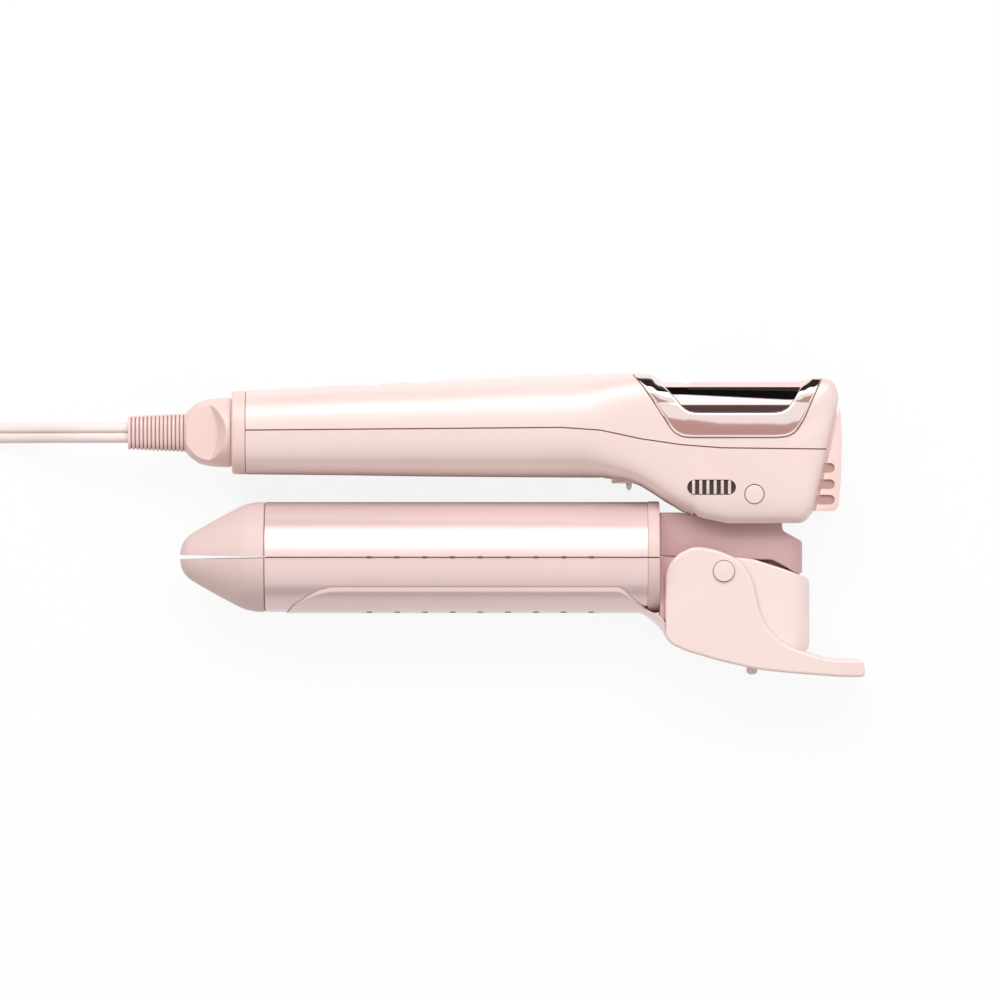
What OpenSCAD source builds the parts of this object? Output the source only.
// Folding hair curler with a split barrel, a spring clip, a blown-air handle and a swivelling flat lead.
// Millimetres. The tool lies on its side: X runs along the handle towards the hinge,
// Y is the handle's upward side, and Z leaves the flank it rests on.
// The pieces are drawn about the fold pin at (0, 0, 0), with Z = 0 on the middle plane.

/* [Barrel] */
// Radius of the closed barrel
barrel_r = 16; // [14:0.5:16]
// Length of the barrel between its root ring and its tip
barrel_l = 111; // [90:1:111]
// Thickness of the barrel's metal skin
barrel_wall = 1.2; // [0.8:0.1:1.6]
// Distance from the barrel's axis down from the fold pin
barrel_drop = 18.3; // [18:0.1:18.6]
// Gap between the two jaws on the split plane
jaw_gap = 0.4; // [0.3:0.1:0.6]

/* [Handle] */
// Half width of the head across its two flat cheeks
cheek_z = 15.9; // [15:0.1:16]
// Thickness of the handle's moulded wall
wall = 2.3; // [1.8:0.1:2.6]
// Half width of the slot that the hinge folds into
slot_z = 12.2; // [12:0.1:12.6]

/* [Hinges] */
// Radius of the fold pin
fold_pin_r = 2.5; // [2:0.1:3]
// Radius of the pin that carries the lower jaw and the lever
lever_pin_r = 2; // [1.5:0.1:2.2]
// Radial clearance of every running fit
fit = 0.05; // [0.03:0.01:0.08]

/* [Lead] */
// Width of the flat twin lead
cord_w = 6; // [5.4:0.1:6.4]
// Thickness of the flat twin lead
cord_t = 3.4; // [3:0.1:3.6]
// Turns in the stored coil
coil_turns = 7; // [5.25:1:7.25]
// Sideways pitch of the coil
coil_pitch = 7; // [6.8:0.1:7.4]
// Radius at the middle of the coil's turns
coil_mid_r = 37.7; // [36:0.1:38]

/* [Hidden] */
$fn = 48;

// Outline of the handle and its head seen from the side, with the dip between the arms of the trim
handle_line = [[-151.5, 29.9], [-120, 31.7], [-93, 32.9], [-65, 34.4], [-44.5, 35], [-33, 35.2], [-29.5, 35], [-27.5, 33.2],
    [-25, 32.5], [12, 32.5], [15, 33], [17, 33.8], [19.6, 33.8], [23, 32.7], [24.8, 28.9], [23.8, 22.5], [21.6, 12.9],
    [18.1, -2], [17.2, -4.9], [15.2, -7.5], [13.7, -8.4], [-7.5, -8.5], [-14.5, -7], [-20.6, -5.2], [-25.3, -2.3],
    [-29.3, 0.35], [-32.8, 2.5], [-37, 3.9], [-44.5, 4.8], [-65, 4.9], [-93, 5.1], [-120, 5.5], [-151.5, 5.8]];
// Half width of the handle along its length
plan_line = [[-151.5, 11.8], [-147.4, 12], [-120, 13.4], [-93, 14.4], [-65, 15.3], [-52, 15.9], [23, 15.9], [25.5, 15.2]];
// Rounded sections of the grip and of the head: height, then half width
grip_round = [for (a = [7.5:15:360]) [19.6 + 15.6 * sgn_pow(sin(a), 0.74), 16.4 * sgn_pow(cos(a), 0.74)]];
head_round = [[35.4, 9], [34.9, 11.8], [33.6, 14], [31.6, 15.4], [29, 16.2], [-4, 16.2], [-6.6, 15.4], [-8.2, 13.8], [-8.7, 12.4]];
// Where the top and bottom shells meet
split_y = [[-200, 18.1], [-56, 19.3], [-44.5, 18.5], [-32.8, 16], [-21.2, 14.3], [-9.5, 13.4], [40, 12.8]];
// Chrome trim, panel and rear vent seen from the side
trim_line = [[-34.4, 36], [-24.7, 20], [-18.1, 16.6], [7.4, 16.6], [13.1, 20], [20.2, 34.5], [17, 34.5],
    [11, 26.5], [6.5, 23.9], [-19.4, 23.9], [-20.5, 24.8], [-29.7, 36]];
panel_line = [[-26.3, 32.1], [-20.2, 25.1], [-19.1, 24.3], [6.3, 24.3], [10.7, 26.8], [14.6, 32.1]];
vent_line = [[17.2, -4.9], [18.1, -2], [21.6, 12.9], [23.8, 22.5], [24.2, 25.06], [24.95, 24], [25.4, 16.8], [25.1, 4.8], [24.5, -3.3], [23.2, -4.9]];
hub_r = 8;
pin_x = -8.7;
pin_y = -22.3;
axis_y = 17.9;
x_root = -30.8;
x_front = x_root - barrel_l;
by = -barrel_drop;
head_slot = [[-17.6, 18], [-17.6, -40], [60, -40], [60, 60], [-20.6, 60], [-19.4, 36]];
block_line = [[-27.3, -5.6], [-22.5, -5.6], [-18.5, -6.8], [8.2, -6.8], [8.4, -10.6], [14.3, -13.8], [14.3, -23],
    [12.6, -23], [5.3, -19.1], [-3, -19.1], [-4.5, -22.3], [-6, -25.5], [-11.4, -25.5], [-13, -22.3], [-14, -18.4], [-27.3, -18.1]];
housing_line = [[-27.3, -18.7], [-16, -18.7], [-12.5, -18.5], [-5.2, -18.3], [-0.3, -18.8], [4.4, -20.3], [7.6, -21.3],
    [14.3, -23.7], [15.8, -24.5], [16.4, -25.6], [16.4, -43.6], [15.6, -45.4], [13.9, -46.1], [0, -46.1],
    [-6, -45.2], [-14, -42], [-20, -38.5], [-24, -34.5], [-27.3, -33]];
housing_void = [[-25.6, -10], [-25.6, -33], [-23, -34], [-19, -37.2], [-13, -40.6], [-5.5, -43.7], [0, -44.5],
    [13.4, -44.5], [14.9, -43], [14.9, -10]];
lever_line = [[-25.7, -23.1], [-24.6, -20], [-21.7, -17.1], [-18.1, -15.4], [-15, -15.3], [-10.6, -16.2], [-6.1, -18],
    [-3.4, -20], [-1.2, -23.1], [0.3, -27.5], [1.2, -32.4], [2.8, -36.9], [5, -40], [8.1, -42.9], [11.7, -44.7],
    [15.9, -46.1], [19.7, -47.3], [23.3, -47.9], [31.8, -48.1], [32.3, -52.7], [31.3, -53.1], [25.1, -53],
    [11.7, -52], [2.8, -51.1], [-2.1, -50.2], [-10.6, -48.2], [-19.4, -45.6], [-23.9, -43.6], [-25.7, -41.3]];
lever_web = [[-25.7, -41.3], [-23.9, -43.6], [-19.4, -45.6], [-10.6, -48.2], [-2.1, -50.2], [2.8, -51.1], [11.7, -52],
    [25.1, -53], [31.3, -53.1], [32.3, -52.7], [31.8, -48.1], [23.3, -47.9], [19.7, -47.3], [18, -47.6], [17.4, -51.1],
    [11.7, -50.6], [2.8, -49.7], [-2.1, -48.8], [-10.6, -46.7], [-18.9, -44.2], [-22.9, -42.5], [-24.4, -40.6], [-25.7, -38.6]];
// Clip: radius from the barrel's axis along its length, outside and then back inside
clip_profile = [[-136, 16.35], [-32.4, 16.35], [-31, 17.3], [-27.9, 19.85], [-26.6, 21.5], [-25.75, 22.7],
    [-25.75, 20.6], [-26.4, 20], [-28.2, 18.4], [-30.8, 16.75], [-32.2, 15.65], [-136, 15.65]];
// Clip: half width along its length
clip_edge = [[-135.7, 0.6], [-133.7, 7.7], [-130, 10.8], [-126.1, 12.6], [-122.2, 13.2], [-38.9, 13.2], [-37, 12.2],
    [-34, 9.5], [-31.2, 6.5], [-29, 8.5], [-27.3, 10.7], [-25, 11.2]];
tip_profile = [[0, 16], [-2.5, 15.9], [-5.5, 15.3], [-7.3, 14.6], [-14.1, 11], [-20.9, 7.1], [-22.7, 5.8], [-24, 3.9], [-24.6, 1.9], [-24.6, 0], [0, 0]];
vent_x = [for (i = [0:7]) -112 + i * 8.1];

// Whole object, without the lead, centred on the row's origin and standing on Z = 0
x_lo = -181.8;
x_hi = 32.3;
y_lo = -53.1;
y_hi = 35.2;
top_z = 16.2;
module place() translate([-(x_lo + x_hi) / 2, -(y_lo + y_hi) / 2, top_z]) children();

// Lead: its route down to the surface, then a coil of two layers, then the plug
floor_z = -top_z + cord_t / 2 + 0.05;
coil_r_out = coil_mid_r + coil_pitch * coil_turns / 4;
coil_x = -275;
coil_y = axis_y - coil_r_out;
route = [[-181.8, 0], [-186, 0], [-190, -0.3], [-194, -1.3], [-198, -3], [-202, -5.2], [-206, -7.6], [-210, -9.8],
    [-214, -11.7], [-218, -13.1], [-222, -13.9], [-227, -14.4], [-233, -14.45], [-245, -14.45], [-260, -14.45], [-275, -14.45]];
function smooth(t) = let (u = max(0, min(1, t))) u * u * (3 - 2 * u);
layer_z = 4.1;
function coil_r(t) = coil_r_out - coil_pitch * min(t, coil_turns - t);
function coil_point(t) = let (a = 90 + 360 * t, r = coil_r(t))
    [coil_x + r * cos(a), coil_y + r * sin(a), floor_z + layer_z * smooth((t - coil_turns / 2 + 0.25) / 0.5)];
coil_steps = floor(coil_turns * 24);
coil_turn_pts = [for (i = [0:coil_steps]) coil_point(coil_turns * i / coil_steps)];
// Off the top turn the lead curves in over the coil, and its plug lies on it
tail_r = 26;
tail_run = 6;
plug_z = floor_z + layer_z + cord_t / 2 + 6.35;
plug_x = coil_x - tail_r;
plug_y = coil_y + coil_r_out - tail_r - tail_run;
tail_pts = concat([for (f = [7.5:7.5:90]) [coil_x - tail_r * sin(f), coil_y + coil_r_out - tail_r + tail_r * cos(f),
    floor_z + layer_z + (plug_z - floor_z - layer_z) * smooth(f / 75)]], [[plug_x, plug_y, plug_z]]);
coil_pts = concat(coil_turn_pts, tail_pts);
coil_steps_all = len(coil_pts) - 1;
function d2(a, b) = norm([a[0] - b[0], a[1] - b[1]]);
// Least clear distance between a turn and any turn more than half a turn away, as two stadium sections
function gap(a, b) = norm([max(0, d2(a, b) - (cord_w - cord_t)), a[2] - b[2]]) - cord_t;
coil_gap = min([for (i = [0:coil_steps_all]) for (j = [i + 12:1:coil_steps_all]) gap(coil_pts[i], coil_pts[j])]);
echo(coil_gap = coil_gap);
function path_l(p) = len(p) < 2 ? 0 : sumv([for (i = [1:len(p) - 1]) norm(p[i] - p[i - 1])]);
function sumv(v, i = 0) = i >= len(v) ? 0 : v[i] + sumv(v, i + 1);
cord_pts = [for (p = route) [p[0], axis_y, p[1]]];
echo(cord_length = path_l(cord_pts) + path_l(coil_pts), plug = [plug_x, plug_y, plug_z]);

// Flat lead section of n corners: wide across the path, thin along Z
function lead_section(n) = [for (i = [0:n - 1]) let (a = 360 * (i + 0.5) / n)
    [(cord_w - cord_t) / 2 * sign(cos(a)) + cord_t / 2 * cos(a), cord_t / 2 * sin(a) / sin(360 * (floor(n / 4) + 0.5 - (n % 4 == 0 ? 1 : 0)) / n)]];
module sweep(pts, n, ends) {
    m = len(pts);
    dirs = [for (i = [0:m - 1]) i == 0 ? ends[0] : i == m - 1 ? ends[1] : let (v = pts[i + 1] - pts[i - 1]) v / norm(v)];
    sec = lead_section(n);
    points = [for (i = [0:m - 1]) let (d = dirs[i], s = let (v = cross([0, 0, 1], d)) v / norm(v), u = cross(d, s))
        for (q = sec) pts[i] + s * q[0] + u * q[1]];
    faces = concat(
        [for (i = [0:m - 2]) for (k = [0:n - 1]) let (a = i * n + k, b = i * n + (k + 1) % n) [a, b, a + n]],
        [for (i = [0:m - 2]) for (k = [0:n - 1]) let (b = i * n + (k + 1) % n, c = (i + 1) * n + k) [b, b + n, c]],
        [[for (k = [n - 1:-1:0]) k]], [[for (k = [0:n - 1]) (m - 1) * n + k]]);
    polyhedron(points, [for (f = faces) [for (k = [len(f) - 1:-1:0]) f[k]]]);
}

function sgn_pow(v, e) = sign(v) * pow(abs(v), e);
function mirrored(line) = concat(line, [for (i = [len(line) - 1:-1:0]) [line[i][0], -line[i][1]]]);
module bar(line, z0, z1) translate([0, 0, z0]) linear_extrude(z1 - z0) polygon(line);
module both(z0, z1) { for (s = [0, 1]) mirror([0, 0, s]) translate([0, 0, z0]) linear_extrude(z1 - z0) children(); }
module along_x(x0, x1, r, y = 0) translate([x0, y, 0]) rotate([0, 90, 0]) cylinder(h = x1 - x0, r = r);
module along_y(x, y0, y1, r, z = 0) translate([x, y0, z]) rotate([-90, 0, 0]) cylinder(h = y1 - y0, r = r);
module along_z(x, y, z0, z1, r) translate([x, y, z0]) cylinder(h = z1 - z0, r = r);
module block3(x0, x1, y0, y1, z) translate([x0, y0, -z]) cube([x1 - x0, y1 - y0, 2 * z]);

button_x = [-111.1, -97.3];
button_dip = [31.5, 32.1];
dip_r = 10.3;
module dips(lift = 0) for (i = [0, 1]) along_z(button_x[i], button_dip[i] + dip_r + lift, -20, 20, dip_r);

// Room inside the handle for the board, the switches and the fan; the walls are at least as thick as wall
module cavity() {
    block3(-149, -22, 8.7 + wall, 27.8 - wall, 11.5 - wall);
    block3(-149, -128, 8.5, 27.5, 5);
    block3(-129, -22, 5.3 + wall, 32.1 - wall, 6.5);
    along_x(-69, -44, 11.4, 19.6);
}
module seen_along_x(x0, x1) translate([x0, 0, 0]) rotate([90, 0, 90]) linear_extrude(x1 - x0) children();
module handle_solid(x0) intersection() {
    bar(handle_line, -18, 18);
    rotate([-90, 0, 0]) translate([0, 0, -20]) linear_extrude(60) polygon(mirrored(plan_line));
    union() {
        seen_along_x(x0, -43) polygon(grip_round);
        seen_along_x(-43, 30) polygon(mirrored(head_round));
    }
}
module handle_body() {
    difference() {
        handle_solid(-147.4);
        cavity();
        bar(head_slot, -slot_z, slot_z);
        dips();
        for (x = button_x) along_y(x, 24, 40, 3.35);
        along_z(0, 0, -20, 20, fold_pin_r + 0.02);
        both(cheek_z - 0.6, cheek_z + 1) circle(r = 2.95);
        both(cheek_z - 1.2, cheek_z + 1) polygon(trim_line);
        both(cheek_z - 1, cheek_z + 1) polygon(panel_line);
        both(cheek_z - 1.2, cheek_z + 1) grille_shape(0.05);
        block3(-44.6, -33.6, -10, 5, 5);
        block3(-43.2, -36, 0, 10, 1.9);
    }
}
module grille_shape(grow) translate([-12.4, 2]) {
    square([9.7, 4.3 + 2 * grow], center = true);
    for (s = [-1, 1]) translate([s * 4.85, 0]) circle(r = 2.15 + grow);
}
module above_split(up) linear_extrude(60, center = true)
    polygon(concat(split_y, up ? [[40, 80], [-200, 80]] : [[40, -80], [-200, -80]]));
module handle_top_shell() color("#eec3bf") place() intersection() { handle_body(); above_split(true); }
module handle_bottom_shell() color("#eec3bf") place() intersection() { handle_body(); above_split(false); }
module end_collar() color("#e6b9b6") place() difference() {
    intersection() { handle_solid(-151.5); block3(-151.5, -147.4, 0, 40, 20); }
    along_x(-155, -140, 5 + fit, axis_y);
}
module side_trims() color("#d9d4d6") place() both(cheek_z - 1.1, top_z) intersection() {
    polygon(trim_line);
    polygon([[-200, 33.6], [-32, 34], [-29.6, 34.2], [-27.5, 32.6], [-25, 31.9], [12, 31.9], [15, 32.4], [17, 33.2], [22.5, 33], [22, -20], [-200, -20]]);
}
module head_panels() color("#1c1a1c") place() both(cheek_z - 0.95, cheek_z) intersection() {
    polygon(panel_line);
    translate([-40, 20]) square([80, 11.5]);
}
module rear_vents() color("#eec3bf") place() both(slot_z, cheek_z - 0.1) difference() {
    polygon(vent_line);
    for (y = [7.6, 2.9, -1.6]) {
        translate([19.5, y]) square([4.8, 2.8], center = true);
        translate([21.9, y]) circle(r = 1.4);
    }
}
module side_grilles() color("#c99d99") place() {
    both(cheek_z - 1.15, cheek_z - 0.85) grille_shape(0);
    both(cheek_z - 0.85, cheek_z - 0.1) for (i = [0:5]) translate([-17.6 + 2.08 * i, 2]) square([0.9, 4.1], center = true);
}
module fold_pin() color("silver") place() along_z(0, 0, -cheek_z + 0.6, cheek_z - 0.6, fold_pin_r);
module fold_pin_caps() color("#e6b9b6") place() both(cheek_z - 0.58, cheek_z) circle(r = 2.9);
module circuit_board() color("seagreen") place() difference() {
    union() {
        block3(-126, -80, 21, 22.6, 9);
        block3(-122, -116, 16, 21, 4);
        block3(-92, -84, 14, 21, 5);
        along_y(-101, 13, 21, 3);
    }
    for (s = [-1, 1]) along_y(-82.5, 15, 30, 1.2, 7 * s);
}
module tact_switches() color("#333333") place() for (x = button_x) {
    block3(x - 3, x + 3, 22.6, 26, 3);
    along_y(x, 26, 27.2, 1.6);
}
module fan_housing() color("#d8d8d8") place() difference() {
    union() {
        along_x(-68, -52, 11, 19.6);
        along_x(-52, -46, 6.4, 19.6);
    }
    along_x(-70, -54, 10.2, 19.6);
    along_x(-60, -45, 5.05, 19.6);
    for (k = [0:5]) translate([-60, 19.6, 0]) rotate([60 * k, 0, 0]) translate([0, 8.2, 0]) rotate([0, 90, 0]) cylinder(h = 12, r = 1.6);
}
module fan_motor() color("silver") place() { along_x(-57, -45, 5, 19.6); along_x(-67, -57, 0.75, 19.6); }
module fan_impeller() color("#444444") place() difference() {
    union() {
        along_x(-67.5, -58, 3.4, 19.6);
        for (k = [0:6]) translate([0, 19.6, 0]) rotate([360 / 7 * k, 0, 0]) translate([-66.5, 3, 0]) rotate([0, 24, 0])
            translate([0, 0, -0.5]) cube([7.2, 6.5, 1]);
    }
    along_x(-70, -50, 0.75 + fit, 19.6);
}
module button(i) color("#e9b9b6") place() difference() {
    union() {
        along_y(button_x[i], button_dip[i] - 2.6, 36, 3.1);
        along_y(button_x[i], button_dip[i] - 3.6, button_dip[i] - 2.6, 4.2);
    }
    translate([0, -0.15, 0]) dips();
    block3(-130, -80, button_dip[i] + 1.2, 40, 20);
}
module power_button() button(0);
module mode_button() button(1);
module fold_slider() color("#e6b9b6") place() {
    block3(-41, -35, 3.1, 4.85, 4.6);
    block3(-36.9, -35.3, 1.2, 3.1, 4.2);
    block3(-39.2, -36.8, 4.85, 8.2, 1.6);
    block3(-40, -36, 8.2, 9.2, 3.4);
}
module swivel_cap() color("#e9bdb9") place() {
    intersection() {
        translate([0, axis_y, 0]) rotate([0, 90, 0]) rotate_extrude()
            polygon([[0, -164.7], [6.3, -164.7], [7.6, -163.4], [9.2, -161], [9.7, -158.5], [10.2, -151.6], [0, -151.6]]);
        rotate([-90, 0, 0]) linear_extrude(60) polygon([[-151, 10.4], [-153, 10.2], [-164.8, 5.2], [-164.8, -5.2], [-153, -10.2], [-151, -10.4]]);
    }
    difference() {
        union() { along_x(-152, -138, 5, axis_y); along_x(-147.3, -146, 6.5, axis_y); }
        along_x(-146, -130, 3.4, axis_y);
    }
}
module slip_rings() color("#c9a24c") place() for (x = [-145, -141.5]) difference() {
    along_x(x, x + 1.8, 5.8, axis_y);
    along_x(x - 1, x + 3, 5.01, axis_y);
}
module oval(h, t) { square([2 * t, 2 * (h - t)], center = true); for (s = [-1, 1]) translate([0, s * (h - t)]) circle(r = t); }
module strain_relief() color("#e9bdb9") place() translate([0, axis_y, 0]) rotate([0, 90, 0]) {
    translate([0, 0, -181.8]) linear_extrude(17.1) oval(4.2, 2.9);
    for (i = [0:14]) translate([0, 0, -181.8 + 1.17 * i]) linear_extrude(0.72) oval(4.9 + 0.055 * i, 3.5 + 0.05 * i);
}

// Upper jaw, fixed to the hinge block
module hinge_block() color("#cf9c9e") place() difference() {
    union() {
        intersection() { bar(block_line, -7, 7); round_end(14.3, 7, 5.4); }
        along_z(0, 0, -slot_z + 0.3, slot_z - 0.3, hub_r);
    }
    along_z(0, 0, -20, 20, fold_pin_r + fit);
    along_z(pin_x, pin_y, -20, 20, lever_pin_r + 0.02);
    block3(-13.5, -3.8, -30, -18.6, 4.8);
}
module upper_half() translate([-300, by + jaw_gap / 2, -40]) cube([400, 60, 80]);
module lower_half() translate([-300, by - jaw_gap / 2 - 60, -40]) cube([400, 60, 80]);
module root_ring() difference() {
    along_x(x_root, x_root + 3.5, barrel_r + 0.2, by);
    along_x(x_root - 1, x_root + 5, 2, by);
}
module skin() difference() {
    along_x(x_front, x_root, barrel_r, by);
    along_x(x_front - 1, x_root + 1, barrel_r - barrel_wall, by);
    for (x = vent_x) translate([x, by, 0]) cube([2.4, 1.1, 50], center = true);
}
module tip() translate([x_front, by, 0]) rotate([0, 90, 0]) rotate_extrude() polygon([for (p = tip_profile) [p[1], p[0]]]);
module plate_of(s) block3(x_front + 2, x_root - 2, s > 0 ? by + 0.25 : by - 2.25, s > 0 ? by + 2.25 : by - 0.25, barrel_r - barrel_wall - 0.35);
module heater_of(s) block3(-125, -48, s > 0 ? by + 2.25 : by - 4.75, s > 0 ? by + 4.75 : by - 2.25, 6);
module tip_half(s) difference() {
    tip();
    translate([x_front, by, 0]) rotate([0, 0, -s * 1.6]) translate([-60, s > 0 ? -60 : -jaw_gap / 2, -40]) cube([100, 60 + jaw_gap / 2, 80]);
}
module upper_ring() color("#f0c4c0") place() intersection() { root_ring(); upper_half(); }
module upper_barrel() color("#f3cdca") place() intersection() { skin(); upper_half(); }
module upper_tip() color("#e9bdb6") place() tip_half(1);
module upper_plate() color("#b9b4b4") place() plate_of(1);
module upper_heater() color("#efe9dc") place() heater_of(1);
module lever_pin() color("silver") place() {
    along_z(pin_x, pin_y, -11.35, 11.35, lever_pin_r);
    along_z(pin_x, pin_y, 11.35, 11.9, 3);
}
module lever_pin_clip() color("silver") place() along_z(pin_x, pin_y, -11.9, -11.35, 3);
module torsion_spring(z0) {
    n = 4; m = 14; w = 0.4; k = 6;
    pts = [for (i = [0:n * m]) [pin_x + 3 * cos(360 * i / m), pin_y + 3 * sin(360 * i / m), z0 + 0.95 * i / m]];
    points = [for (i = [0:n * m]) for (j = [0:k - 1]) let (a = 360 * i / m, r = 3 + w * cos(360 * j / k))
        [pin_x + r * cos(a), pin_y + r * sin(a), z0 + 0.95 * i / m + w * sin(360 * j / k)]];
    side = [for (i = [0:n * m - 1]) for (j = [0:k - 1]) let (a = i * k + j, b = i * k + (j + 1) % k) each [[a, a + k, b], [b, a + k, b + k]]];
    polyhedron(points, concat(side, [[for (j = [0:k - 1]) j]], [[for (j = [k - 1:-1:0]) n * m * k + j]]));
}
module jaw_spring() color("silver") place() torsion_spring(-4.3);
module clip_spring() color("silver") place() torsion_spring(0.5);

// Lower jaw
module round_end(x, z, r) rotate([-90, 0, 0]) translate([0, 0, -60]) linear_extrude(60)
    polygon(mirrored(concat([[-40, z]], [for (a = [90:-10:0]) [x - r + r * cos(a), z - r + r * sin(a)]])));
module lower_housing() color("#f0c9c5") place() difference() {
    intersection() { bar(housing_line, -9.3, 9.3); round_end(16.4, 9.3, 7); }
    intersection() { bar(housing_void, -7.3, 7.3); round_end(14.6, 7.3, 5.2); }
    along_z(pin_x, pin_y, -20, 20, lever_pin_r + fit);
}
module lower_ring() color("#f0c4c0") place() intersection() { root_ring(); lower_half(); }
module lower_barrel() color("#f3cdca") place() difference() {
    intersection() { skin(); lower_half(); }
    intersection() {
        difference() {
            along_x(-136.6, x_root + 1, barrel_r + 1, by);
            along_x(-137, x_root + 2, 15.4, by);
        }
        block3(-137, x_root + 1, by - 30, by - 8.4, 13.9);
    }
}
module lower_tip() color("#e9bdb6") place() tip_half(-1);
module lower_plate() color("#b9b4b4") place() plate_of(-1);
module lower_heater() color("#efe9dc") place() heater_of(-1);

// Lever and clip
module lever() color("#f0c9c5") place() difference() {
    union() {
        both(9.6, 11.2) polygon(lever_line);
        bar(lever_web, -9.6, 9.6);
    }
    along_z(pin_x, pin_y, -20, 20, lever_pin_r + fit);
}
module clip_spoon() color("#f3cdca") place() intersection() {
    translate([0, by, 0]) rotate([0, 90, 0]) rotate_extrude() polygon([for (p = clip_profile) [p[1], p[0]]]);
    translate([0, by - 5, 0]) rotate([90, 0, 0]) linear_extrude(60) polygon(mirrored(clip_edge));
}
module rest_stud() color("#d8a6a4") place() difference() {
    translate([-0.3, -50.2, 0]) rotate([90, 0, 0]) rotate_extrude()
        polygon(concat([[0, 0], [1.6, 0]], [for (a = [0:15:90]) [1.6 * cos(a), 1.1 + 1.6 * sin(a)]]));
    bar(lever_web, -5, 5);
}

// Lead and plug
module cord() color("#efc6c2") place() sweep(cord_pts, 8, [[-1, 0, 0], [-1, 0, 0]]);
module cord_coil() color("#efc6c2") place() {
    sweep(coil_pts, 6, [[-1, 0, 0], [0, -1, 0]]);
}
module plug_body() color("#efc6c2") place() translate([plug_x, plug_y, plug_z]) intersection() {
    rotate([90, 0, 0]) linear_extrude(36) { square([23.8, 12.6], center = true); for (s = [-1, 1]) translate([11.9 * s, 0]) circle(r = 5.6); }
    linear_extrude(40, center = true) polygon([[-5.6, 0], [-6.6, -8], [-11, -17], [-17.5, -24], [-17.5, -36], [17.5, -36], [17.5, -24], [11, -17], [6.6, -8], [5.6, 0]]);
}
module plug_pins() color("silver") place() for (s = [-1, 1])
    translate([plug_x + 9.3 * s, plug_y - 36, plug_z]) rotate([90, 0, 0]) cylinder(h = 19, r = 2);

handle_top_shell();
handle_bottom_shell();
end_collar();
side_trims();
head_panels();
rear_vents();
side_grilles();
fold_pin();
fold_pin_caps();
circuit_board();
tact_switches();
fan_housing();
fan_motor();
fan_impeller();
power_button();
mode_button();
fold_slider();
swivel_cap();
strain_relief();
slip_rings();
hinge_block();
upper_ring();
upper_barrel();
upper_tip();
upper_plate();
upper_heater();
lever_pin();
lever_pin_clip();
jaw_spring();
clip_spring();
lower_housing();
lower_ring();
lower_barrel();
lower_tip();
lower_plate();
lower_heater();
lever();
clip_spoon();
rest_stud();
cord();
cord_coil();
plug_body();
plug_pins();
